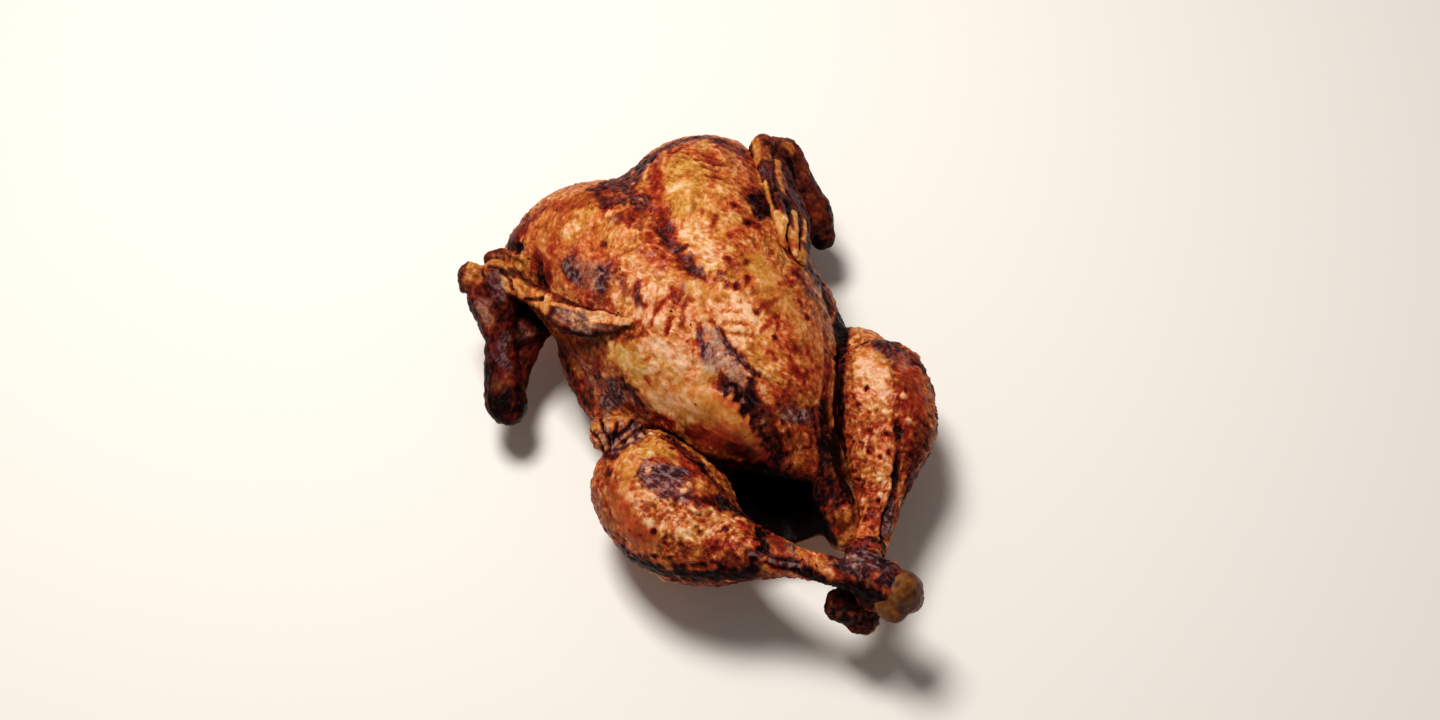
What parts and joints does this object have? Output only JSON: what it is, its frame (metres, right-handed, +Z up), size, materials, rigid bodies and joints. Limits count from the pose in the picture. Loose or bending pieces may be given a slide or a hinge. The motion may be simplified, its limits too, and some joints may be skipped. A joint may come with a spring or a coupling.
{
  "type": "roast chicken",
  "caption": "Whole roast chicken lying on its back, wings folded over the breast, legs crossed in front of an open cavity.",
  "frame": {"origin": "on the flat spot under the back that it rests on, below the middle of the breast", "axes": "+Z up, +Y towards the neck end and -Y towards the legs, +X across, towards the wing and leg on the right as seen from the legs"},
  "size_m": [0.2035, 0.2738, 0.104],
  "materials": {
    "roast_skin": "glossy browned skin",
    "charred_bits": "burnt crumbs and blisters",
    "bare_bone": "satin cooked bone and gristle"
  },
  "bodies": {
    "root": {"chicken": "roast_skin"}
  },
  "joints": []
}
